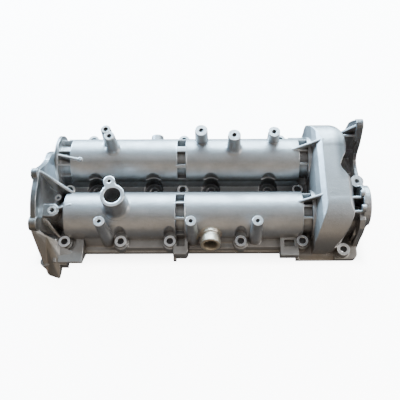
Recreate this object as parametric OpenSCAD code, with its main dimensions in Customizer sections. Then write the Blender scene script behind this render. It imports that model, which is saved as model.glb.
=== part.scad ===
// Camshaft housing and valve cover of a small four-cylinder engine, cast in one piece.
// X runs along the camshafts, Y points to the rear, and Z = 0 is the sealing face.

/* [Cam tunnels] */
// Distance between the two camshaft axes
cam_spacing = 82; // [80:0.5:84]
// Height of the camshaft axes above the sealing face
cam_z = 20; // [19.5:0.5:21]
// Outer radius of a cam tunnel
tunnel_r = 31.5; // [31:0.25:32]
// Inner radius of a cam tunnel
tunnel_bore_r = 27.5; // [27:0.25:28]
// Radius of the camshaft bearings
bearing_r = 17.5; // [16:0.25:18]
// Width of each bearing wall
bearing_w = 22; // [18:1:26]
// Left end of the full tunnel surface
tunnel_left_x = -149; // [-150:0.5:-148]
// Right end of the full tunnel surface
tunnel_right_x = 158; // [156:1:159]

/* [Sealing rail] */
// Distance of the rail's outer edge from the middle plane
rail_y = 87.5; // [86:0.5:89]
// Height of the plain rail
rail_h = 6; // [5:0.5:7]
// Height of the valley floor between the tunnels
valley_h = 14.5; // [13:0.5:16]

/* [Cover bolts] */
// Distance of the outer bolts from the middle plane
bolt_y = 77.5; // [77:0.5:78.5]
// Radius of a bolt boss
bolt_boss_r = 7.75; // [7.5:0.25:8.5]
// Radius of a bolt hole
bolt_hole_r = 4.25; // [4:0.25:4.5]
// Height of the outer bolt bosses
bolt_boss_h = 22; // [20:1:23]

/* [Injector wells] */
// Distance between neighbouring cylinders
cylinder_pitch = 78; // [77:0.5:79]
// Radius of the well scooped into the tunnel walls
well_r = 14.5; // [14:0.25:15]
// Height of the ledge at the bottom of the scoop
well_ledge_h = 25; // [23:1:26]
// Radius of the injector hole
injector_r = 5.5; // [5:0.25:6]

/* [Posts] */
// Height of the threaded posts along the front
post_h = 75; // [70:1:78]
// Radius of a post at its top
post_r = 6.6; // [6:0.2:7]
// Radius of the tapped hole in a post
post_hole_r = 2.5; // [2:0.25:3]

/* [Breather neck] */
// Position of the neck along the cover
neck_x = -81.5; // [-83:0.5:-80]
// Height of the top of the neck
neck_h = 81; // [78:1:84]
// Radius of the neck at its top
neck_r = 15; // [14.5:0.25:15.5]
// Radius of the neck's bore
neck_bore_r = 10.5; // [10:0.25:11]

/* [Gear case] */
// Left face of the gear case
case_x0 = 172; // [171:0.5:173]
// Right face of the gear case over the front gear
case_x1 = 220; // [218:0.5:221]
// Outer radius of the gear case around each camshaft
case_r = 50; // [49:0.25:51]
// Wall thickness of the gear case
case_wall = 4; // [3.5:0.25:5]

/* [End flanges] */
// Left face of the timing flange
timing_x = -188; // [-190:0.5:-187]
// Thickness of the timing flange
timing_t = 7; // [6:0.5:8]
// Right face of the pump flange
pump_x = 239; // [238:0.5:241]
// Thickness of the pump flange
pump_t = 9; // [8:0.5:10]

/* [Hidden] */
$fn = 96;
cast = "#b9bdbd";
cam_y = cam_spacing / 2;
pocket_r = 24;
groove_r = 24.5;
timing_in_x = timing_x + timing_t;
pump_in_x = pump_x - pump_t;
bearing_x = [-158, 0, 164];
case_bolt_h = 18;
injector_x = [for (i = [-1.5:1:1.5]) i * cylinder_pitch];
valley_bolt_x = [-154.4, 0, 157.4];
front_bolt_x = [-151, -78, -14, 78, 158];
rear_bolt_x = [-128.5, 0.5, 137];
rear_low_bolt_x = [-64, 68];
rear_bolt_h = 18;
rear_low_bolt_h = 8;
corner_bolt = [211, 88];
post_x = [-96, 15.5, 97];
post_y = 72;
well_floor = 7;
port_x = 38.8;
port_bore_r = 9.3;
rear_port_x = -37;
// Small amount by which a cutter passes the face it opens
past = 1;

// Extrudes an outline drawn in Y and Z from x0 to x1
module along_x(x0, x1) {
    translate([x0, 0, 0]) rotate([90, 0, 90]) linear_extrude(x1 - x0) children();
}

// Extrudes an outline drawn in X and Z from y0 to y1
module along_y(y0, y1) {
    translate([0, y1, 0]) rotate([90, 0, 0]) linear_extrude(y1 - y0) children();
}

// Round bar along X about a camshaft axis, where side is -1 for the front and 1 for the rear
module cam_bar(side, r, x0, x1) {
    translate([x0, side * cam_y, cam_z]) rotate([0, 90, 0]) cylinder(r = r, h = x1 - x0);
}

// Arc-shaped block about a camshaft axis, between two angles from upright that grow to the front
module cam_sector(side, r0, r1, x0, x1, a0, a1) {
    translate([x0, side * cam_y, cam_z]) rotate([0, 90, 0]) rotate([0, 0, 180 + a0])
        rotate_extrude(angle = a1 - a0) translate([r0, 0]) square([r1 - r0, x1 - x0]);
}

// Upright web between two points in plan, with a sloping top edge
module web(from, to, t) {
    d = [to[0] - from[0], to[1] - from[1]];
    translate([from[0], from[1], 0]) rotate([0, 0, atan2(d[1], d[0])]) along_y(-t / 2, t / 2)
        polygon([[0, from[3]], [norm(d), to[3]], [norm(d), to[2]], [0, from[2]]]);
}

// Flat bridge in plan between two round bosses
module bridge(a, b, ra, rb, z0, z1) {
    d = [b[0] - a[0], b[1] - a[1]] / norm([b[0] - a[0], b[1] - a[1]]);
    n = [-d[1], d[0]];
    translate([0, 0, z0]) linear_extrude(z1 - z0) polygon([a + n * ra, b + n * rb, b - n * rb, a - n * ra]);
}

// Points of an arc
function arc(c, r, a0, a1, n) = [for (i = [0:n]) c + r * [cos(a0 + (a1 - a0) * i / n), sin(a0 + (a1 - a0) * i / n)]];

// Body

// Solid that the two tunnels, the valley and the rails are cut from
module body() {
    for (side = [-1, 1]) {
        cam_bar(side, tunnel_r, tunnel_left_x, tunnel_right_x);
        cam_bar(side, groove_r, side > 0 ? tunnel_left_x - 17 : 0, case_x0 + 2);
        along_x(tunnel_right_x - 1, case_x0 + 2) polygon([[side * 8, 0], [side * 8, valley_h], [side * 18, 16],
            [side * 26, 24], [side * 56, 24], [side * 63, 14], [side * 68, rail_h], [side * 68, 0]]);
    }
    along_x(tunnel_right_x - 1, case_x0 + 2) polygon([[-rail_y, 0], [-rail_y + 0.5, rail_h], [-12, rail_h],
        [-8, valley_h - 0.6], [8, valley_h - 0.6], [12, rail_h], [rail_y - 0.5, rail_h], [rail_y, 0]]);
    along_x(tunnel_left_x - 2, tunnel_right_x) polygon([
        [-rail_y, 0], [-rail_y + 0.5, rail_h], [-73, rail_h], [-72, 14], [-67, 30], [-15, 30], [-4.8, valley_h],
        [4.8, valley_h], [15, 30], [67, 30], [72, 14], [73, rail_h], [rail_y - 0.5, rail_h], [rail_y, 0]]);
    along_x(tunnel_left_x - 18, tunnel_left_x) polygon([[-rail_y, 0], [-rail_y + 0.5, rail_h], [-12, rail_h],
        [-8, valley_h], [8, valley_h], [14, 30], [60, 30], [73, rail_h], [rail_y - 0.5, rail_h], [rail_y, 0]]);
}

// Raised stretches of the rail, each a side, a start, an end, a height and the place of its inner edge
module rail_blocks() {
    blocks = [[-1, -126, -81, 6.5, 79.4], [-1, -81, -8, 13, 72], [-1, 8, 76, 11, 76.4], [-1, 76, 131, 13.5, 72],
        [1, -126, 131, 8.5, 76]];
    for (b = blocks) {
        edge = rail_y - 0.35 * b[3];
        along_x(b[1], b[2]) polygon([
            [b[0] * 60, 0], [b[0] * (rail_y - 0.2), 0], [b[0] * edge, b[3]],
            [b[0] * b[4], b[3]], [b[0] * 67, 30], [b[0] * 60, 30]]);
    }
}

// Webs and collars beside the ring grooves at the end bearings
module groove_webs() {
    r0 = groove_r - 2;
    r1 = tunnel_r - 0.4;
    for (a = [-42, 0, 35]) {
        cam_sector(1, r0, r1, tunnel_left_x - 17, tunnel_left_x + 2, a - 2.5, a + 2.5);
        cam_sector(1, r0, r1, tunnel_right_x - 2, case_x0 + 2, a - 2.5, a + 2.5);
    }
    for (a = [-42, 0, 30]) cam_sector(-1, r0, r1, tunnel_right_x - 2, case_x0 + 2, a - 2.5, a + 2.5);
    for (side = [-1, 1]) cam_bar(side, tunnel_r + 2, case_x0 - 2.5, case_x0 + 2);
    cam_bar(1, tunnel_r + 5, tunnel_left_x - 19.5, tunnel_left_x - 15.5);
}

// Raised frame round the pockets of the middle bearing
module middle_frame() {
    for (p = [[1, -41, 39], [-1, -41, 31]]) cam_sector(p[0], tunnel_r - 2, tunnel_r + 0.6, -7.2, 6.8, p[1], p[2]);
}

// Pockets that keep the middle bearing's wall even
module middle_pockets() {
    for (p = [[1, -38, -10], [1, 4, 36], [1, 44, 76], [-1, -38, -10], [-1, -6, 27.5], [-1, 33.5, 76]])
        cam_sector(p[0], pocket_r, tunnel_r + 3, -6, 5.5, p[1], p[2]);
    for (side = [-1, 1]) translate([-5.5, side > 0 ? 70.5 : -83, 12]) cube([10.5, 12.5, 40]);
}

// Bosses along the rails

// All outer bolts, each with its side, place along the rail and boss height
outer_bolts = concat([for (x = front_bolt_x) [-1, x, bolt_boss_h]], [for (x = rear_bolt_x) [1, x, rear_bolt_h]],
    [for (x = rear_low_bolt_x) [1, x, rear_low_bolt_h]]);

module bolt_bosses() {
    for (x = front_bolt_x) translate([x, -bolt_y, 0]) cylinder(r = bolt_boss_r + 2, h = 17.5);
    for (b = outer_bolts) translate([b[1], b[0] * bolt_y, 0]) cylinder(r = bolt_boss_r, h = b[2]);
    for (side = [-1, 1]) translate([corner_bolt[0], side * corner_bolt[1], 0])
        cylinder(r = bolt_boss_r + 0.9, h = case_bolt_h);
    for (x = valley_bolt_x) translate([x, 0, 0]) cylinder(r = 7.6, h = valley_h + 1.2);
}

// Slots in the tunnel walls that clear the bolt heads, shallow at both ends of the front row
module bolt_scoops(extra) {
    r = bolt_boss_r + 0.4 + extra;
    for (b = outer_bolts) {
        inward = b[0] < 0 && abs(b[1]) > 150 ? 0 : 4.8;
        translate([b[1], b[0] * (bolt_y - inward), b[2] - 2 * extra]) {
            cylinder(r = r, h = 60);
            translate([-r, b[0] > 0 ? 0 : -20, 0]) cube([2 * r, 20, 60]);
        }
    }
}

module bolt_holes() {
    for (b = outer_bolts) translate([b[1], b[0] * bolt_y, -past]) cylinder(r = bolt_hole_r, h = 40);
    for (side = [-1, 1]) translate([corner_bolt[0], side * corner_bolt[1], -past])
        cylinder(r = bolt_hole_r, h = 40);
    for (x = valley_bolt_x) translate([x, 0, -past]) cylinder(r = 4.6, h = 40);
}

// Tapered post with its foot at z0
module post(x, y, z0, z1, r0, r1) {
    translate([x, y, z0]) cylinder(r1 = r0, r2 = r1, h = z1 - z0);
}

module posts() {
    for (x = post_x) post(x, -post_y, 1, post_h, 8.8, post_r);
    post(-92, 45, 38, 82, 9, 6.8);
    post(-97.3, 55, 30, 82, 9, 6.4);
    post(70.2, 45, 38, 83, 9.4, 8.3);
    post(26.7, 60, 4, 71, 9.6, 8.4);
    post(123.8, 60, 4, 67, 9.2, 7.9);
    post(-163.5, -45.5, 20, 50, 8.6, 8.6);
    post(-166, -15.5, 4, 24, 6, 4.6);
    post(231, -4, 4, 47, 9.5, 8.7);
}

module post_holes() {
    for (x = post_x) translate([x, -post_y, post_h - 24]) cylinder(r = post_hole_r, h = 30);
    for (p = [[-92, 45, 82], [-97.3, 55, 82], [70.2, 45, 83], [26.7, 60, 71], [123.8, 60, 67],
              [-163.5, -45.5, 50], [231, -4, 47]])
        translate([p[0], p[1], p[2] - 18]) cylinder(r = 3, h = 24);
    translate([-166, -15.5, 14]) cylinder(r = 2, h = 20);
}

// Breather neck with the ear that its fitting is screwed to
module neck() {
    ear = [neck_x - 5.3, -20.5];
    centre = [neck_x, -40];
    post(centre[0], centre[1], 30, neck_h, neck_r, neck_r);
    translate([ear[0], ear[1], neck_h - 14]) cylinder(r = 7.4, h = 14);
    bridge(centre, ear, 11, 5.5, neck_h - 14, neck_h);
}

module neck_cuts() {
    translate([neck_x, -40, cam_z]) cylinder(r = neck_bore_r, h = 80);
    translate([neck_x - 5.3, -20.5, neck_h - 12]) cylinder(r = 2.3, h = 20);
}

// Port whose axis meets the camshaft's axis, rising outwards by an angle
module port(side, x, r, len, rise) {
    translate([x, side * cam_y, cam_z]) rotate([side * (rise - 90), 0, 0]) cylinder(r = r, h = len);
}

// Collar round the mouth of the front port
module port_mouth() {
    intersection() {
        port(-1, port_x, 12.8, 48, 15);
        translate([port_x, -cam_y, cam_z]) rotate([75, 0, 0]) translate([-20, -20, 39]) cube([40, 40, 10]);
    }
}

// Ends

// Bosses on the timing flange, each a place in Y and Z, a radius, a start and an end along the housing
timing_bosses = [[0, 63, 7.5, -190.5, -182], [-62.7, 46.5, 9, -189.5, -180], [56, 13, 6, -188.5, -174]];

// Upper edge of the timing flange, as places in Y and Z
timing_arch = [[-72.5, 36], [-70, 47], [-60, 54], [-46.8, 60.4], [-37.7, 63.8], [-24.6, 65.8], [-13.2, 65.4],
    [-4, 66.5], [5, 65], [12, 59], [23, 47], [36, 37], [47, 33], [54, 26], [60, 17.5], [64, 10], [65, 4]];

// Wall in front of the end bearing, drawn between cross-sections and cut along its crest
module front_wall() {
    a = [[-60, 0], [-86.5, 0], [-83.8, 7], [-77.3, 12.5], [-72.8, 34], [-70, 49], [-60, 49]];
    b = [[-60, 0], [-116, 0], [-114.5, 3], [-97, 17], [-84, 27], [-75, 32.5], [-60, 33]];
    c = [[-60, 0], [-121.3, 0], [-121, 3], [-103, 15], [-95, 18], [-79, 22], [-60, 22]];
    d = [[-70, 0], [-95, 0], [-94.5, 18.3], [-79.5, 22.3], [-70, 22.3]];
    e = [[-70, 0], [-92, 0], [-92, 18.2], [-88, 18.8], [-70, 18.8]];
    intersection() {
        union() {
            hull() {
                along_x(timing_x - 0.5, timing_x) polygon(a);
                along_x(-173, -172) polygon(b);
            }
            hull() {
                along_x(-173, -172) polygon(b);
                along_x(-157, -155.5) polygon(c);
            }
            hull() {
                along_x(-157.5, -156.5) polygon(d);
                along_x(-142, -141) polygon(e);
            }
        }
        linear_extrude(60) polygon(concat([[-189, -64], [-183, -66], [-174.3, -71.5], [-168, -74], [-161.5, -76.5],
            [-156, -80], [-151, -85.5], [-140, -89.8], [-140, -93], [-155.5, -97], [-155.6, -112]],
            arc([-159.8, -118], 3.4, 0, -90, 4), [[-163.5, -121.3], [-166.5, -120.2], [-172, -115.8],
            [-178.6, -110.3], [-182, -105], [-184, -98], [-189, -85.5]]));
    }
}

// Pad plate beside the first bolt, with a hollow for the bolt's collar and a short ridge next to it
module front_pad() {
    along_x(-164.2, -160.4) polygon([[-90, 8], [-104.2, 8], [-103.6, 16.8], [-92, 19.2], [-90, 18]]);
    along_x(-160, -147) polygon([[-70, 0], [-106.3, 0], [-106, 13], [-70, 14]]);
    along_x(-150, -126.5) polygon([[-70, 0], [-88, 0], [-103, 14], [-70, 14]]);
    translate([0, 0, 13]) linear_extrude(5) polygon(concat([[-157.5, -90], [-157.5, -104.5], [-127.5, -104.5],
        [-126.5, -103.5], [-126.5, -72.7], [-138, -72.7]], arc([-149.5, -77.5], 12.8, 20, -70, 8)));
}

// Concave foot of the flange's inner face
module flange_foot() {
    along_y(-66, 32) polygon(concat([[timing_x + 1, 0]], arc([-151, 40], 30, 180, 238, 8), [[-161, 6], [-161, 0]]));
    along_y(30, 62) polygon(concat([[timing_x + 1, 0]], arc([-162, 24], 20, 195, 235, 6), [[-166, 6], [-166, 0]]));
}

module timing_end() {
    along_x(timing_x, timing_in_x) polygon(concat([[-86.5, 0], [-83.8, 7], [-77.3, 12.5], [-74, 18], [-72.5, 36]],
        smooth(timing_arch, 2), [[66, 0]]));
    for (b = timing_bosses)
        translate([b[3], b[0], b[1]]) rotate([0, 90, 0]) cylinder(r = b[2], h = b[4] - b[3]);
    flange_foot();
    // Nose of the front tunnel
    translate([timing_in_x - 1, -cam_y, cam_z]) rotate([0, 90, 0]) cylinder(r = 15, h = 20);
    translate([-162, -cam_y, cam_z]) rotate([0, 90, 0]) cylinder(r1 = 15, r2 = 25, h = 13);
    web([-181, 3, 10, 64], [-141, -17.5, 10, 42], 3.4);
    web([-182, 62, 2, 16], [-166, 44, 2, 30], 4);
    web([-168, 34, 36, 55], [-134, 28, 40, 50.5], 2.6);
    translate([-135, 28.5, 40]) cylinder(r = 2.6, h = 11.8);
    web([-157, -43.5, 40, 50.6], [-139.5, -38, 40, 52], 2.2);
    // Pad of the screw boss and the walls that carry it
    translate([-174.8, -54.1, 44]) cube([12, 17.2, 6]);
    web([-182, -45.5, 6, 34], [-164, -45.5, 6, 45], 8);
    web([-175, -52, 6, 42], [-157, -72, 6, 23], 3);
    front_wall();
    front_pad();
    translate([-175.4, -101.5, 0]) cylinder(r = 6.5, h = 12);
}

module timing_cuts() {
    for (b = timing_bosses)
        translate([b[3] - past, b[0], b[1]]) rotate([0, 90, 0]) cylinder(r = 3, h = 8);
}

// Smooth curve through a list of points, with n steps between neighbours
function smooth(p, n) = concat([for (i = [1:len(p) - 3], k = [0:n - 1]) let (t = k / n)
    ((2 * p[i]) + (p[i + 1] - p[i - 1]) * t + (2 * p[i - 1] - 5 * p[i] + 4 * p[i + 1] - p[i + 2]) * t * t
    + (3 * p[i] - p[i - 1] - 3 * p[i + 1] + p[i + 2]) * t * t * t) / 2], [p[len(p) - 2]]);

// Right-hand edge of the gear case in plan, measured from its face over the front gear
case_edge = [[-34, -92], [-30, -91], [-22, -89], [-12, -79.5], [-5.5, -69], [-1.8, -57], [0, -42], [0, -28],
    [-1.5, -14], [-7, -4], [-13.5, 7], [-10, 18], [-5, 29], [-4, 42], [-6, 56], [-11, 70], [-19, 82],
    [-28, 90], [-36, 92]];

// Plan of the gear case, drawn in by a wall thickness
module case_plan(inset) {
    left = case_x0 - 1 + inset;
    polygon(concat([[left, -96]], [for (p = smooth(case_edge, 4)) [case_x1 - inset + p[0], p[1]]], [[left, 96]]));
}

// Side view of the gear case with its sloping left shoulder
module case_side(inset) {
    top = cam_z + case_r - inset;
    left = case_x0 - 1 + inset;
    polygon(concat([[left, -1], [left, 41 - inset], [left + 4, 55 - inset], [left + 8.5, 64 - inset], [left + 14, top - 0.6],
        [left + 16, top + 1]], arc([case_x1 - inset - 9, top - 9], 9.4, 90, 0, 8), [[case_x1 + 0.4 - inset, -1]]));
}

module case_solid(inset) {
    intersection() {
        union() {
            for (side = [-1, 1]) cam_bar(side, case_r - inset, case_x0 - 2, case_x1 + 2);
            along_x(case_x0 - 2, case_x1 + 2) polygon([for (p = [[-92.5, -1], [-90.2, 24], [-41, 30],
                [-41, cam_z + case_r - 0.2], [41, cam_z + case_r - 0.2], [41, 30], [90.2, 24], [92.5, -1]])
                [p[0] - sign(p[0]) * (abs(p[0]) > 60 ? inset : 0), p[1] > 60 ? p[1] - inset : p[1]]]);
        }
        along_y(-100, 100) case_side(inset);
        translate([0, 0, -1]) linear_extrude(80) case_plan(inset);
    }
}

// Flange under the gear case
module case_base() {
    difference() {
        linear_extrude(8) polygon(concat([[150, rail_y], [150, -98]], arc([223, -90.5], 7.5, -90, 0, 6),
            arc([222, 88], 8, 0, 90, 6), [[178, 96], [172, rail_y]]));
        along_x(154, 200) polygon([[-93, 9], [-93, 7], [-96.5, 2.5], [-100, 2.5], [-100, 9]]);
    }
}

module pump_end() {
    // Two-lobed flange with its upright arm at the rear
    along_x(pump_in_x, pump_x) polygon(concat([[-62, 0], [-64, 40]], arc([-40, 47.5], 26.3, 182, 35, 14),
        [[-13, 50], [-6, 43], [0, 40], [13.8, 30.2], [23, 27.6], [31, 26.8], [38, 28.4], [42, 34], [44.3, 42], [46.5, 55],
        [50.6, 65.4]], arc([64, 76], 8, 150, 0, 6), [[80, 62], [88, 46], [92, 20], [92, 0]]));
    // Leg of the flange, set back towards the gear case
    along_x(pump_in_x - 5, pump_in_x + 2) polygon([[-55, 0], [-82, 0], [-77.8, 24], [-76.3, 41], [-74, 52],
        [-66, 62], [-55, 62]]);
    cam_bar(-1, 26, 205, pump_in_x + 1);
    for (b = [[-34, 71], [-53, 69]]) translate([pump_in_x - 3, b[0], b[1]]) rotate([0, 90, 0])
        cylinder(r = 4.5, h = 5);
    // Webs between the gear case and the flange
    web([205, -38, 10, 69], [232, -38, 10, 69], 3);
    web([205, -56, 10, 66.5], [232, -56, 10, 66.5], 3);
    web([205, 54, 2, 67], [232, 54, 2, 67], 3.2);
    web([208, 60, 2, 60], [232, 62, 2, 80], 3.2);
    web([229, -57, 2, 48], [223, -74, 2, 30], 3);
    web([146, 41.5, 30, 50.5], [187.5, 47.5, 30, 70.2], 2.6);
    web([150, -35.5, 30, 50.5], [190.5, -31, 30, 70.2], 2.6);
}

module pump_cuts() {
    cam_bar(-1, bearing_r + 1, 200, pump_x + past);
    cam_bar(-1, 21, pump_x - 12, pump_x + past);
    // The arm is thinner between its webs and the front lobe
    along_x(pump_in_x - past, pump_in_x + 4) polygon([[9, 9], [9, 60], [52, 60], [52, 9]]);
}

// Pads and lug on the front rail

module front_details() {
    intersection() {
        along_x(-9.8, 9.4) polygon([[-66, 0], [-94, 0], [-95, 13], [-94, 18], [-66, 20]]);
        linear_extrude(40) polygon(concat([[-12, -60], [-12, -96]], arc([3, -88.5], 6.4, -90, 0, 6), [[9.4, -60]]));
    }
    translate([-10, -98, 0]) cube([4, 12, 7]);
    along_x(129.3, 152.8) polygon([[-66, 0], [-92, 0], [-96, 6], [-96.3, 18], [-66, 20]]);
}

module front_cuts() {
    translate([134.5, -84, 12.5]) cube([13.5, 9, 10]);
}

// Hollows

// Hollow of one tunnel between two bearings, open at the sealing face
module tunnel_hollow(side, x0, x1) {
    cam_bar(side, tunnel_bore_r, x0, x1);
    along_x(x0, x1) polygon([for (p = [[-28.5, -past], [28.5, -past], [tunnel_bore_r - 0.6, cam_z + 4],
        [0.6 - tunnel_bore_r, cam_z + 4]]) [side * cam_y + p[0], p[1]]]);
}

module hollows() {
    half = bearing_w / 2;
    difference() {
        for (side = [-1, 1], i = [0, 1])
            tunnel_hollow(side, bearing_x[i] + half, bearing_x[i + 1] - half);
        for (x = injector_x) translate([x, 0, -2 * past]) cylinder(r = well_r + 4, h = 60);
        bolt_scoops(3.5);
    }
    for (side = [-1, 1]) cam_bar(side, bearing_r, tunnel_left_x - 8, case_x0 + 10);
    case_solid(case_wall);
}

module injector_wells() {
    for (x = injector_x) {
        translate([x, 0, well_ledge_h]) cylinder(r = well_r, h = 30);
        translate([x, 0, well_floor]) cylinder(r = well_r - 1.9, h = 30);
        translate([x, 0, -past]) cylinder(r = injector_r, h = 30);
    }
}

// Raised rings round the injector holes
module injector_seats() {
    for (x = injector_x) difference() {
        translate([x, 0, 2]) cylinder(r = 7.6, h = well_floor);
        translate([x, 0, 0]) cylinder(r = injector_r, h = 30);
    }
}

module valve_cover() {
    difference() {
        union() {
            difference() {
                union() {
                    body();
                    rail_blocks();
                    groove_webs();
                    middle_frame();
                    front_details();
                    timing_end();
                }
                middle_pockets();
                bolt_scoops(0);
            }
            case_solid(0);
            case_base();
            pump_end();
            bolt_bosses();
            posts();
            neck();
            port(-1, port_x, 12.6, 34, 15);
            port(-1, port_x, 11.3, 47, 15);
            port_mouth();
            port(1, rear_port_x, 8.5, 40, 0);
        }
        hollows();
        injector_wells();
        bolt_holes();
        post_holes();
        neck_cuts();
        front_cuts();
        timing_cuts();
        pump_cuts();
        port(-1, port_x, port_bore_r, 60, 15);
        port(1, rear_port_x, 5, 60, 0);
        translate([-300, -200, -60]) cube([600, 400, 60]);
    }
    injector_seats();
}

color(cast) valve_cover();
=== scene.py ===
import math
import bpy
import bmesh
from mathutils import Matrix, Vector


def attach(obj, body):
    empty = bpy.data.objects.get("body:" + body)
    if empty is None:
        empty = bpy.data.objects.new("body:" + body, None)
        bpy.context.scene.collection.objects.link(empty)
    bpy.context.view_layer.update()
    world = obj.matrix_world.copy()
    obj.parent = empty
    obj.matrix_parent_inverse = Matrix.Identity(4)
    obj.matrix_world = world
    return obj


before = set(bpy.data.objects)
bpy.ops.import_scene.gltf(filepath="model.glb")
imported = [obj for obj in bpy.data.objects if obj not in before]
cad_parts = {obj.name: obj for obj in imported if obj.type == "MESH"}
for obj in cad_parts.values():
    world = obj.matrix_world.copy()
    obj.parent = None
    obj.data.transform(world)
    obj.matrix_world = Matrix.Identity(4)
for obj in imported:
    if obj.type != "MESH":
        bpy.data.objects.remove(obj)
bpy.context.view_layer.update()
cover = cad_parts["valve_cover"]
mm = 0.001
print("cover loaded")

# Camera, placed at the photo's viewing angle
view = {
    "focalPixels": 540.0,       # held by choice, because the photo hardly fixes it
    "picture": 400,             # width in pixels
    "sensor": 36,
    "centre": (218.63, 200.27),
    "aim": (0.049426, -0.018409, 0.020),
    "distance": 0.72717,
    "pitch": 64.666,            # degrees below the horizon
    "roll": -0.409,
    "yaw": 0.214,
}

def addCamera():
    pitch, roll, yaw = (math.radians(view[k]) for k in ("pitch", "roll", "yaw"))
    heading = Matrix.Rotation(yaw, 3, "Z")
    forward = heading @ Vector((0, math.cos(pitch), -math.sin(pitch)))
    up = heading @ Vector((0, math.sin(pitch), math.cos(pitch)))
    right = heading @ Vector((1, 0, 0))
    right, up = (math.cos(roll) * right + math.sin(roll) * up,
                 math.cos(roll) * up - math.sin(roll) * right)
    picture = view["picture"]
    data = bpy.data.cameras.new("camera")
    data.sensor_fit = "HORIZONTAL"
    data.sensor_width = view["sensor"]
    data.lens = view["focalPixels"] * view["sensor"] / picture
    data.shift_x = (picture / 2 - view["centre"][0]) / picture
    data.shift_y = (view["centre"][1] - picture / 2) / picture
    camera = bpy.data.objects.new("camera", data)
    place = Vector(view["aim"]) - forward * view["distance"]
    camera.matrix_world = Matrix((
        (right.x, up.x, -forward.x, place.x),
        (right.y, up.y, -forward.y, place.y),
        (right.z, up.z, -forward.z, place.z),
        (0, 0, 0, 1)))
    bpy.context.collection.objects.link(camera)
    bpy.context.scene.camera = camera

addCamera()
print("camera set")

# Soft studio light, mostly two broad cool lamps behind the part
studio = {
    "sky": (0.93, 0.96, 1.0),
    "skyPower": 0.16,
    "backdrop": 9.0,            # seen by the camera only
    "aim": (0.02, 0, 0.03),
    "lamps": [                  # place, size, power, colour
        ((0.1, 1.3, 0.56), 1.2, 92, (0.63, 0.845, 1.0)),
        ((-0.3, 0.0, 1.5), 0.7, 2.2, (1.0, 1.0, 1.0)),
        ((-0.9, 1.05, 0.2), 0.7, 88, (0.52, 0.76, 1.0)),
        ((-0.1, -1.5, 0.9), 1.7, 6.5, (1.0, 0.80, 0.58)),
        ((1.1, 0.0, 0.8), 0.6, 13, (1.0, 0.97, 0.93)),
    ],
}

def addSky():
    world = bpy.data.worlds.new("studio")
    bpy.context.scene.world = world
    world.use_nodes = True
    tree = world.node_tree
    sky = tree.nodes["Background"]
    sky.inputs["Color"].default_value = (*studio["sky"], 1)
    sky.inputs["Strength"].default_value = studio["skyPower"]
    backdrop = tree.nodes.new("ShaderNodeBackground")
    backdrop.inputs["Strength"].default_value = studio["backdrop"]
    direct = tree.nodes.new("ShaderNodeLightPath")
    pick = tree.nodes.new("ShaderNodeMixShader")
    tree.links.new(direct.outputs["Is Camera Ray"], pick.inputs[0])
    tree.links.new(sky.outputs[0], pick.inputs[1])
    tree.links.new(backdrop.outputs[0], pick.inputs[2])
    tree.links.new(pick.outputs[0], tree.nodes["World Output"].inputs[0])

def addLamps():
    aim = Vector(studio["aim"])
    for i, (place, size, power, colour) in enumerate(studio["lamps"]):
        data = bpy.data.lights.new("lamp%d" % i, "AREA")
        data.size = size
        data.energy = power
        data.color = colour
        lamp = bpy.data.objects.new("lamp%d" % i, data)
        lamp.location = place
        lamp.rotation_euler = (Vector(place) - aim).to_track_quat("Z", "Y").to_euler()
        bpy.context.collection.objects.link(lamp)

addSky()
addLamps()
print("lights set")

# Node helpers
def newMaterial(name):
    mat = bpy.data.materials.new(name)
    mat.use_nodes = True
    return mat, mat.node_tree, mat.node_tree.nodes["Principled BSDF"]

def node(tree, kind, **values):
    n = tree.nodes.new(kind)
    for key, value in values.items():
        if key.startswith("in"):
            n.inputs[int(key[2:])].default_value = value
        else:
            setattr(n, key, value)
    return n

def calc(tree, operation, *terms, clamp=False):
    n = node(tree, "ShaderNodeMath", operation=operation, use_clamp=clamp)
    for i, term in enumerate(terms):
        if isinstance(term, (int, float)):
            n.inputs[i].default_value = term
        else:
            tree.links.new(term, n.inputs[i])
    return n.outputs[0]

def product(tree, first, *others):
    for other in others:
        first = calc(tree, "MULTIPLY", first, other)
    return first

def largest(tree, first, *others):
    for other in others:
        first = calc(tree, "MAXIMUM", first, other)
    return first

def ramp(tree, value, low, high, atLow=0.0, atHigh=1.0):
    n = node(tree, "ShaderNodeMapRange", in1=low, in2=high, in3=atLow, in4=atHigh)
    tree.links.new(value, n.inputs[0])
    return n.outputs[0]

def blend(tree, share, first, second):
    n = node(tree, "ShaderNodeMix", data_type="RGBA")
    for socket, term in (("Factor", share), (6, first), (7, second)):
        if isinstance(term, tuple):
            n.inputs[socket].default_value = (*term, 1)
        else:
            tree.links.new(term, n.inputs[socket])
    return n.outputs[2]

def pickNumber(tree, share, first, second):
    n = node(tree, "ShaderNodeMix", data_type="FLOAT")
    for socket, term in ((0, share), (2, first), (3, second)):
        if isinstance(term, float):
            n.inputs[socket].default_value = term
        else:
            tree.links.new(term, n.inputs[socket])
    return n.outputs[0]

def noise(tree, where, scale, detail=3.0, rough=0.6):
    n = node(tree, "ShaderNodeTexNoise", in2=scale, in3=detail, in4=rough)
    tree.links.new(where, n.inputs["Vector"])
    return n.outputs["Fac"]

def bump(tree, height, strength, distance):
    n = node(tree, "ShaderNodeBump")
    n.inputs["Strength"].default_value = strength
    n.inputs["Distance"].default_value = distance
    tree.links.new(height, n.inputs["Height"])
    return n

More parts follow.
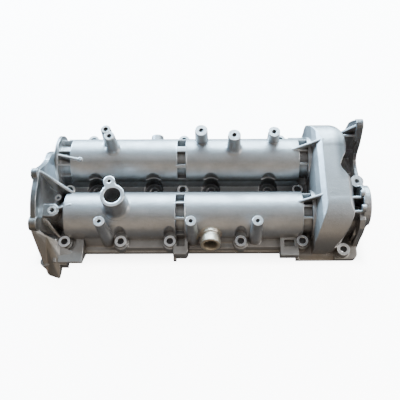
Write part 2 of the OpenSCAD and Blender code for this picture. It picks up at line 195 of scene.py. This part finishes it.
# Cast aluminium of the housing, with machined faces, painted shade and painted light. Pairs are
# where a fade starts and ends
cast = {
    "light": (0.48, 0.487, 0.495),
    "dark": (0.35, 0.352, 0.355),
    "roughness": 0.43,
    "roughnessSpread": 0.05,
    "metal": 0.82,
    "mottle": (60.0, 5.0),          # patches across one metre, and their detail
    "mottleFade": (0.3, 0.7),
    "mottleShare": 0.6,
    "smear": (14.0, 4.0),
    "smearFade": (0.35, 0.65),
    "smearShare": 0.4,
    "grain": 900.0,
    "flow": 180.0,
    "flowShare": 1.2,               # flow marks against sand grain
    "bump": (0.3, 0.0005),          # strength and distance
    "samples": 8,                   # for the corners and the rounded edges

    "hollow": 0.035,                # reach of the painted shade in the corners
    "cornerShadeFade": (0.2, 0.7),
    "cornerShade": 0.42,                  # how dark the painted shade in the deepest corners is
    "valley": 0.55,                 # how dark the painted shade in the valley between the tunnels is
    "valleyX": (0.170, 0.160),
    "valleyY": (0.018, 0.010),
    "valleyZ": (0.030, 0.022),

    # Both ends have painted shade on their exposed wall tops, and the painted shade of the corners
    # is lifted there. The left one also has painted light in its recess, which is deeper here than
    # in the photo and would be too dark
    "leftEnd": (-0.160, -0.168),
    "rightEndX": (0.200, 0.208),
    "rightEndY": (-0.015, 0.005),
    "exposed": (0.45, 0.75),
    "recess": (0.70, 0.71, 0.72),
    "ends": 0.4,
    "endsLift": 0.55,

    # Painted shade, brown, along the foot of the front, the left end and the crown's front
    "stain": (0.30, 0.262, 0.218),
    "stainEven": 0.55,              # its share without the smears
    "stainSmear": 0.4,
    "frontZ": (0.034, 0.006),
    "frontY": (-0.055, -0.088),
    "leftFootX": (-0.140, -0.170),
    "leftFootY": (-0.040, -0.080),
    "crownX": (0.150, 0.165),
    "crownY": (-0.055, -0.090),
    "crownShare": 0.8,

    "port": (0.66, 0.58, 0.46),     # machined port, yellowed
    "portPlace": (0.0388, -0.081, 0.031),
    "portReach": (0.019, 0.0165),

    # Outer edges, rounded, lighter where rubbed bare and as a painted highlight
    "edge": 0.0018,
    "wornAndSheen": (0.66, 0.67, 0.68),
    "wornAndSheenTurn": (0.985, 0.88),
    "wornAndSheenOpen": (0.45, 0.65),
    "wornAndSheenShare": (0.45, 0.85),      # in the dark and the light patches

    # Machined faces, found by the part of their normal along x or z and by their place
    "machined": (0.80, 0.81, 0.82),
    "machinedRoughness": 0.3,
    "jointNormal": -0.999,
    "neckNormal": 0.9995,
    "neckTop": (0.081, 0.0001),     # height and tolerance
    "camAxis": (0.041, 0.020),      # y of both axes and z
    "boreNormal": 0.5,
    "boreRadius": (0.0175, 0.0003),
    "flangeNormal": 0.999,
    "flangeFace": 0.2388,
    "millPitch": 0.0016,            # between two cutter marks
    "millBend": 3.0,                # how far the marks curve across the part
    "millDepth": 0.05,
}

# Joint face, neck top, pump flange and the bores round both cam axes
def machinedZones(tree, place, normal):
    x, y, z = place
    jointFace = calc(tree, "LESS_THAN", normal[2], cast["jointNormal"])
    neckTop = product(tree, calc(tree, "GREATER_THAN", normal[2], cast["neckNormal"]),
                      calc(tree, "COMPARE", z, *cast["neckTop"]))
    outY = calc(tree, "SUBTRACT", calc(tree, "ABSOLUTE", y), cast["camAxis"][0])
    outZ = calc(tree, "SUBTRACT", z, cast["camAxis"][1])
    squares = calc(tree, "ADD", product(tree, outY, outY), product(tree, outZ, outZ))
    bores = product(tree, calc(tree, "COMPARE", calc(tree, "SQRT", squares), *cast["boreRadius"]),
                    calc(tree, "LESS_THAN", calc(tree, "ABSOLUTE", normal[0]), cast["boreNormal"]))
    flange = product(tree, calc(tree, "GREATER_THAN", normal[0], cast["flangeNormal"]),
                     calc(tree, "GREATER_THAN", x, cast["flangeFace"]))
    return largest(tree, jointFace, neckTop, bores, flange)

# Skin with patches, with painted light in the left recess and painted shade in the corners, in the
# valley and on the wall tops of both ends
def skinWithPaintedShade(tree, place, mottle, smear, openness):
    x, y, z = place
    patches = calc(tree, "ADD", product(tree, mottle, cast["mottleShare"]),
                   product(tree, smear, cast["smearShare"]))
    skin = blend(tree, patches, cast["dark"], cast["light"])
    leftEnd = ramp(tree, x, *cast["leftEnd"])
    rightEnd = product(tree, ramp(tree, x, *cast["rightEndX"]), ramp(tree, y, *cast["rightEndY"]))
    ends = largest(tree, leftEnd, rightEnd)
    exposed = ramp(tree, openness, *cast["exposed"])
    # painted light in the left recess
    recess = product(tree, leftEnd, calc(tree, "SUBTRACT", 1.0, exposed))
    skin = blend(tree, recess, skin, cast["recess"])
    # painted shade in the corners, lifted at both ends
    paintedShade = ramp(tree, openness, *cast["cornerShadeFade"], cast["cornerShade"], 1.0)
    paintedShade = calc(tree, "ADD", paintedShade, product(tree, ends, cast["endsLift"]), clamp=True)
    # painted shade on the exposed wall tops of both ends
    wallTops = ramp(tree, product(tree, ends, exposed), 0.0, 1.0, 1.0, cast["ends"])
    # painted shade in the valley between the tunnels
    valley = product(tree, ramp(tree, calc(tree, "ABSOLUTE", y), *cast["valleyY"]),
                     ramp(tree, z, *cast["valleyZ"]),
                     ramp(tree, calc(tree, "ABSOLUTE", x), *cast["valleyX"]))
    paintedShade = product(tree, paintedShade, wallTops, ramp(tree, valley, 0.0, 1.0, 1.0, cast["valley"]))
    shade = node(tree, "ShaderNodeVectorMath", operation="SCALE")
    tree.links.new(skin, shade.inputs[0])
    tree.links.new(paintedShade, shade.inputs["Scale"])
    return shade.outputs[0]

# Painted shade, brown, along the foot of the front, the left end and the crown's front
def stainedFoot(tree, place, smear):
    x, y, z = place
    front = product(tree, ramp(tree, z, *cast["frontZ"]), ramp(tree, y, *cast["frontY"]))
    left = product(tree, ramp(tree, x, *cast["leftFootX"]), ramp(tree, y, *cast["leftFootY"]))
    crown = product(tree, ramp(tree, x, *cast["crownX"]),
                    ramp(tree, y, *cast["crownY"], 0.0, cast["crownShare"]))
    share = calc(tree, "ADD", product(tree, smear, cast["stainSmear"]), cast["stainEven"])
    return calc(tree, "MULTIPLY", largest(tree, front, left, crown), share, clamp=True)

def nearPort(tree, where):
    away = node(tree, "ShaderNodeVectorMath", operation="DISTANCE")
    tree.links.new(where, away.inputs[0])
    away.inputs[1].default_value = cast["portPlace"]
    return ramp(tree, away.outputs["Value"], *cast["portReach"])

# Outer edges lighter, partly rubbed bare and partly a painted highlight
def wornAndSheenEdges(tree, rounded, normal, mottle, openness, foot):
    facing = node(tree, "ShaderNodeVectorMath", operation="DOT_PRODUCT")
    tree.links.new(rounded, facing.inputs[0])
    tree.links.new(normal, facing.inputs[1])
    return product(tree, ramp(tree, facing.outputs["Value"], *cast["wornAndSheenTurn"]),
                   ramp(tree, openness, *cast["wornAndSheenOpen"]),
                   ramp(tree, mottle, 0.0, 1.0, *cast["wornAndSheenShare"]),
                   calc(tree, "SUBTRACT", 1.0, foot))

# Sand grain and flow marks on the skin, cutter marks where it is machined
def surfaceHeight(tree, where, place, machined):
    grain = calc(tree, "ADD", noise(tree, where, cast["grain"]),
                 product(tree, noise(tree, where, cast["flow"]), cast["flowShare"]))
    bend = product(tree, place[1], place[1], cast["millBend"])
    cutter = calc(tree, "ADD", place[0], bend)
    marks = calc(tree, "SINE", product(tree, cutter, math.tau / cast["millPitch"]))
    return pickNumber(tree, machined, grain, product(tree, marks, cast["millDepth"]))

# An edgeRadius of 0 leaves the edges as they are
def castMaterial(name, edgeRadius):
    mat, tree, shader = newMaterial(name)
    link = tree.links.new
    where = node(tree, "ShaderNodeTexCoord").outputs["Object"]
    split = node(tree, "ShaderNodeSeparateXYZ")
    link(where, split.inputs[0])
    place = split.outputs
    geometry = node(tree, "ShaderNodeNewGeometry")
    splitNormal = node(tree, "ShaderNodeSeparateXYZ")
    link(geometry.outputs["True Normal"], splitNormal.inputs[0])
    corners = node(tree, "ShaderNodeAmbientOcclusion", samples=cast["samples"])
    corners.inputs["Distance"].default_value = cast["hollow"]
    openness = corners.outputs["AO"]

    machined = machinedZones(tree, place, splitNormal.outputs)
    mottle = ramp(tree, noise(tree, where, *cast["mottle"]), *cast["mottleFade"])
    smear = ramp(tree, noise(tree, where, *cast["smear"]), *cast["smearFade"])
    foot = stainedFoot(tree, place, smear)
    skin = skinWithPaintedShade(tree, place, mottle, smear, openness)
    # painted brown shade along the feet and on the crown's front
    skin = blend(tree, foot, skin, cast["stain"])
    skin = blend(tree, nearPort(tree, where), skin, cast["port"])
    relief = bump(tree, surfaceHeight(tree, where, place, machined), *cast["bump"])
    if edgeRadius:
        edge = node(tree, "ShaderNodeBevel", samples=cast["samples"])
        edge.inputs[0].default_value = edgeRadius
        rounded = edge.outputs[0]
        # edges lighter, partly rubbed bare and partly a painted highlight
        wornAndSheen = wornAndSheenEdges(tree, rounded, geometry.outputs["Normal"], mottle, openness, foot)
        skin = blend(tree, wornAndSheen, skin, cast["wornAndSheen"])
        link(rounded, relief.inputs["Normal"])

    link(blend(tree, machined, skin, cast["machined"]), shader.inputs["Base Color"])
    shader.inputs["Metallic"].default_value = cast["metal"]
    rough, spread = cast["roughness"], cast["roughnessSpread"]
    wear = ramp(tree, mottle, 0.0, 1.0, rough + spread, rough - spread)
    link(pickNumber(tree, machined, wear, cast["machinedRoughness"]), shader.inputs["Roughness"])
    link(relief.outputs[0], shader.inputs["Normal"])
    return mat

cover.material_slots[0].material = castMaterial("castAluminium", cast["edge"])
print("cast material set")

# Pieces that finish the casting, in millimetres
def newPiece(name, bm, material):
    bmesh.ops.recalc_face_normals(bm, faces=bm.faces)
    mesh = bpy.data.meshes.new(name)
    bm.to_mesh(mesh)
    bm.free()
    mesh.materials.append(material)
    mesh.shade_smooth()
    piece = bpy.data.objects.new(name, mesh)
    bpy.context.collection.objects.link(piece)
    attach(piece, "root")
    return piece

def outlineVerts(bm, centre, outline):
    x, y, z = centre
    return [bm.verts.new(((x + r) * mm, y * mm, (z + h) * mm)) for r, h in outline]

# Turns an outline of radius and height pairs about an upright axis, and returns the new faces
def turn(bm, centre, outline, steps=48):
    before = len(bm.faces)
    verts = outlineVerts(bm, centre, outline)
    edges = [bm.edges.new((verts[i - 1], verts[i])) for i in range(len(verts))]
    bmesh.ops.spin(bm, geom=verts + edges, cent=(centre[0] * mm, centre[1] * mm, 0),
                   axis=(0, 0, 1), dvec=(0, 0, 0), angle=math.tau, steps=steps,
                   use_merge=True, use_duplicate=False)
    bm.faces.ensure_lookup_table()
    return bm.faces[before:]

# Faces turned on the bosses
turnedFace = {
    "rise": 0.25,
    "chamfer": 0.3,
    "sunk": 0.3,
    "gap": 0.04,                # keeps the inner wall off the bore
    "colour": (0.90, 0.905, 0.91),
    "metal": 0.9,
    "roughness": (0.27, 0.42),
    "wear": 400.0,
    "wearFade": (0.3, 0.7),
    "pitch": 0.35,              # of the tool marks
    "bump": (0.35, 0.000008),   # strength and distance
    "bosses": [                 # x, y, top, boss radius, hole radius
        *[(x, -77.5, 22, 7.7, 4.25) for x in (-151, -78, -14, 78, 158)],
        *[(x, 77.5, 18, 7.7, 4.25) for x in (-128.5, 0.5, 137)],
        *[(x, 77.5, 8, 7.7, 4.25) for x in (-64, 68)],
        *[(211, y, 18, 8.5, 4.25) for y in (-88, 88)],
        *[(x, 0, 15.7, 7.5, 4.6) for x in (-154.4, 0, 157.4)],
        *[(x, -72, 75, 6.5, 2.5) for x in (-96, 15.5, 97)],
        (-92, 45, 82, 5.9, 3), (-97.3, 55, 82, 5.2, 3), (70.2, 45, 83, 8.2, 3),
        (26.7, 60, 71, 8.3, 3), (123.8, 60, 67, 7.8, 3), (-163.5, -45.5, 50, 5.6, 3),
        (-166, -15.5, 24, 4.5, 2), (231, -4, 47, 8.6, 3),
    ],
}

def turnedMaterial():
    mat, tree, shader = newMaterial("turnedAluminium")
    shader.inputs["Base Color"].default_value = (*turnedFace["colour"], 1)
    shader.inputs["Metallic"].default_value = turnedFace["metal"]
    where = node(tree, "ShaderNodeTexCoord").outputs["Object"]
    wear = ramp(tree, noise(tree, where, turnedFace["wear"]),
                *turnedFace["wearFade"], *turnedFace["roughness"])
    tree.links.new(wear, shader.inputs["Roughness"])
    radius = node(tree, "ShaderNodeSeparateXYZ")
    turning = node(tree, "ShaderNodeUVMap", uv_map="turning")
    tree.links.new(turning.outputs[0], radius.inputs[0])
    marks = calc(tree, "SINE", product(tree, radius.outputs[1], math.tau / turnedFace["pitch"]))
    tree.links.new(bump(tree, marks, *turnedFace["bump"]).outputs[0], shader.inputs["Normal"])
    return mat

def addTurnedFaces():
    bm = bmesh.new()
    turning = bm.loops.layers.uv.new("turning")
    rise, chamfer, sunk, gap = (turnedFace[k] for k in ("rise", "chamfer", "sunk", "gap"))
    for x, y, top, outer, hole in turnedFace["bosses"]:
        inner = hole + gap
        outline = [(inner, -sunk), (outer, -sunk), (outer, rise - chamfer),
                   (outer - chamfer, rise), (inner + chamfer, rise), (inner, rise - chamfer)]
        for face in turn(bm, (x, y, top), outline):
            for loop in face.loops:
                away = loop.vert.co.xy - Vector((x, y)) * mm
                loop[turning].uv = (math.atan2(away.y, away.x) / math.tau, away.length / mm)
    newPiece("turned_faces", bm, turnedMaterial()).data.shade_flat()

addTurnedFaces()
print("turned faces added")

# Threads in the tapped holes
thread = {
    "pitch": 1.25,
    "height": 0.3,
    "foot": 0.42,               # half the thread's width, as a share of the pitch
    "bury": 0.05,
    "turns": 10,
    "steps": 20,                # in one turn
    "lead": 3.0,                # from the face to the last turn
    "dark": (0.22, 0.21, 0.20),
    "light": (0.42, 0.42, 0.42),
    "metal": 0.9,
    "roughness": (0.45, 0.3),
    "patches": 700.0,
    "patchFade": (0.35, 0.65),
    "holes": [                  # x, y, face, hole radius
        *[(x, -72, 75, 2.5) for x in (-96, 15.5, 97)],
        (-92, 45, 82, 3), (-97.3, 55, 82, 3), (70.2, 45, 83, 3), (26.7, 60, 71, 3),
        (123.8, 60, 67, 3), (-163.5, -45.5, 50, 3), (231, -4, 47, 3), (-86.8, -20.5, 81, 2.3),
    ],
}

def threadMaterial():
    mat, tree, shader = newMaterial("cutThread")
    shader.inputs["Metallic"].default_value = thread["metal"]
    where = node(tree, "ShaderNodeTexCoord").outputs["Object"]
    patches = ramp(tree, noise(tree, where, thread["patches"]), *thread["patchFade"])
    colour = blend(tree, patches, thread["dark"], thread["light"])
    tree.links.new(colour, shader.inputs["Base Color"])
    rough = ramp(tree, patches, 0.0, 1.0, *thread["roughness"])
    tree.links.new(rough, shader.inputs["Roughness"])
    return mat

def addThreads():
    bm = bmesh.new()
    pitch, turns, steps = thread["pitch"], thread["turns"], thread["steps"]
    foot = thread["foot"] * pitch
    for x, y, face, hole in thread["holes"]:
        start = face - thread["lead"] - turns * pitch
        wall = hole + thread["bury"]
        outline = [(wall, -foot), (hole - thread["height"], 0), (wall, foot)]
        first = bm.faces.new(outlineVerts(bm, (x, y, start), outline))
        bmesh.ops.spin(bm, geom=list(first.verts) + list(first.edges) + [first],
                       cent=(x * mm, y * mm, 0), axis=(0, 0, 1),
                       dvec=(0, 0, pitch / steps * mm), angle=math.tau * turns,
                       steps=turns * steps, use_merge=False, use_duplicate=False)
    newPiece("hole_threads", bm, threadMaterial())

addThreads()
print("threads added")

# Cast fillets where posts and the neck stand on a tunnel
fillet = {
    "rows": 7,
    "steps": 64,
    "bury": 0.8,
    "sink": 0.05,               # keeps the fillet's rim in the tunnel
    "inside": 1,                # how far it starts inside the post
    "tunnelRadius": 31.5,
    "feet": [                   # x, y, radius of the post there, reach of the fillet
        (-92, 45, 8.3, 3.6), (-97.3, 55, 8.1, 3.6), (70.2, 45, 9.1, 4.0), (-81.5, -40, 15, 4.5),
    ],
}

def tunnelTop(y):
    out = abs(y) - cast["camAxis"][0]
    reach = fillet["tunnelRadius"] * mm
    return cast["camAxis"][1] + math.sqrt(max(reach * reach - out * out, 0))

def addFillets():
    bm = bmesh.new()
    rows, bury, sink = fillet["rows"], fillet["bury"], fillet["sink"]
    for x, y, radius, reach in fillet["feet"]:
        inner = radius - fillet["inside"]
        outline = [(inner, -bury), (radius + reach, -bury)]
        for i in range(rows):
            t = i / (rows - 1)
            outline.append((radius + reach * (1 - t) ** 2, reach * t * t - sink))
        outline.append((inner, reach - sink))
        faces = turn(bm, (x, y, 0), outline, fillet["steps"])
        for vert in {v for f in faces for v in f.verts}:
            vert.co.z += tunnelTop(vert.co.y)
    newPiece("cast_fillets", bm, castMaterial("castFillet", 0))

addFillets()
print("fillets added")

# Turned sleeve in the front port
sleeve = {
    "axis": (38.8, -41, 20),    # where the port meets the cam axis
    "rise": 15,                 # degrees above the joint face
    "length": 48,
    "steps": 64,
    "bore": 8.7,
    "fit": 9.26,
    "depth": 13,
    "lip": 12.4,
    "lipHeight": 0.35,
    "lipChamfer": 0.25,
    "seat": 0.02,               # keeps the lip off the port's face
    "entry": 0.7,
    "entryDrop": (0.5, 1.0),
    "colour": (0.68, 0.58, 0.43),
    "darker": 0.78,
    "metal": 0.75,
    "roughness": (0.4, 0.28),
    "patches": (220.0, 4.0),    # scale and detail
    "patchFade": (0.3, 0.7),
}

def sleeveMaterial():
    mat, tree, shader = newMaterial("sleeveMetal")
    shader.inputs["Metallic"].default_value = sleeve["metal"]
    where = node(tree, "ShaderNodeTexCoord").outputs["Object"]
    patches = ramp(tree, noise(tree, where, *sleeve["patches"]), *sleeve["patchFade"])
    darker = tuple(c * sleeve["darker"] for c in sleeve["colour"])
    colour = blend(tree, patches, darker, sleeve["colour"])
    tree.links.new(colour, shader.inputs["Base Color"])
    rough = ramp(tree, patches, 0.0, 1.0, *sleeve["roughness"])
    tree.links.new(rough, shader.inputs["Roughness"])
    return mat

def addSleeve():
    bm = bmesh.new()
    bore, fit, depth, lip, high, chamfer, seat = (sleeve[k] for k in (
        "bore", "fit", "depth", "lip", "lipHeight", "lipChamfer", "seat"))
    outline = [
        (bore, -depth), (fit, -depth), (fit, seat), (lip, seat),
        (lip, high - chamfer), (lip - chamfer, high), (fit + sleeve["entry"], high),
        (bore + chamfer, high - sleeve["entryDrop"][0]), (bore, high - sleeve["entryDrop"][1]),
    ]
    turn(bm, (0, 0, 0), outline, sleeve["steps"])
    tilt = Matrix.Rotation(math.radians(90 - sleeve["rise"]), 4, "X")
    along = tilt @ Vector((0, 0, sleeve["length"] * mm))
    move = Matrix.Translation(Vector(sleeve["axis"]) * mm + along)
    bmesh.ops.transform(bm, matrix=move @ tilt, verts=bm.verts)
    newPiece("port_sleeve", bm, sleeveMaterial())

addSleeve()
print("sleeve added")

# Floor
floorPaper = {
    "size": 6,
    "drop": 0.0002,
    "colour": (0.9, 0.9, 0.9),
    "roughness": 0.8,
    "glow": 9.0,
    "middle": (0.025, -0.01),   # of the patch under the part without glow, whose soft rim is a painted shadow
    "half": (0.185, 0.06),
    "fade": 0.035,
}

def floorMaterial():
    mat, tree, shader = newMaterial("floorPaper")
    shader.inputs["Base Color"].default_value = (*floorPaper["colour"], 1)
    shader.inputs["Roughness"].default_value = floorPaper["roughness"]
    shader.inputs["Emission Color"].default_value = (1, 1, 1, 1)
    split = node(tree, "ShaderNodeSeparateXYZ")
    tree.links.new(node(tree, "ShaderNodeTexCoord").outputs["Object"], split.inputs[0])
    out = []
    for place, middle, half in zip(split.outputs, floorPaper["middle"], floorPaper["half"]):
        away = calc(tree, "ABSOLUTE", calc(tree, "SUBTRACT", place, middle))
        out.append(calc(tree, "SUBTRACT", away, half))
    # the glow fades back in around the part, a painted shadow
    glow = ramp(tree, largest(tree, *out), 0.0, floorPaper["fade"], 0.0, floorPaper["glow"])
    tree.links.new(glow, shader.inputs["Emission Strength"])
    # Seen from below the floor is clear, so the joint face shows
    clear = node(tree, "ShaderNodeBsdfTransparent")
    side = node(tree, "ShaderNodeNewGeometry")
    pick = node(tree, "ShaderNodeMixShader")
    tree.links.new(side.outputs["Backfacing"], pick.inputs[0])
    tree.links.new(shader.outputs[0], pick.inputs[1])
    tree.links.new(clear.outputs[0], pick.inputs[2])
    tree.links.new(pick.outputs[0], tree.nodes["Material Output"].inputs[0])
    return mat

def addFloor():
    bm = bmesh.new()
    bmesh.ops.create_grid(bm, x_segments=1, y_segments=1, size=floorPaper["size"])
    bmesh.ops.translate(bm, vec=(0, 0, -floorPaper["drop"]), verts=bm.verts)
    mesh = bpy.data.meshes.new("floor")
    bm.to_mesh(mesh)
    bm.free()
    mesh.materials.append(floorMaterial())
    floor = bpy.data.objects.new("floor", mesh)
    bpy.context.collection.objects.link(floor)
    floor.visible_glossy = False
    floor.visible_diffuse = False

addFloor()
print("floor set")
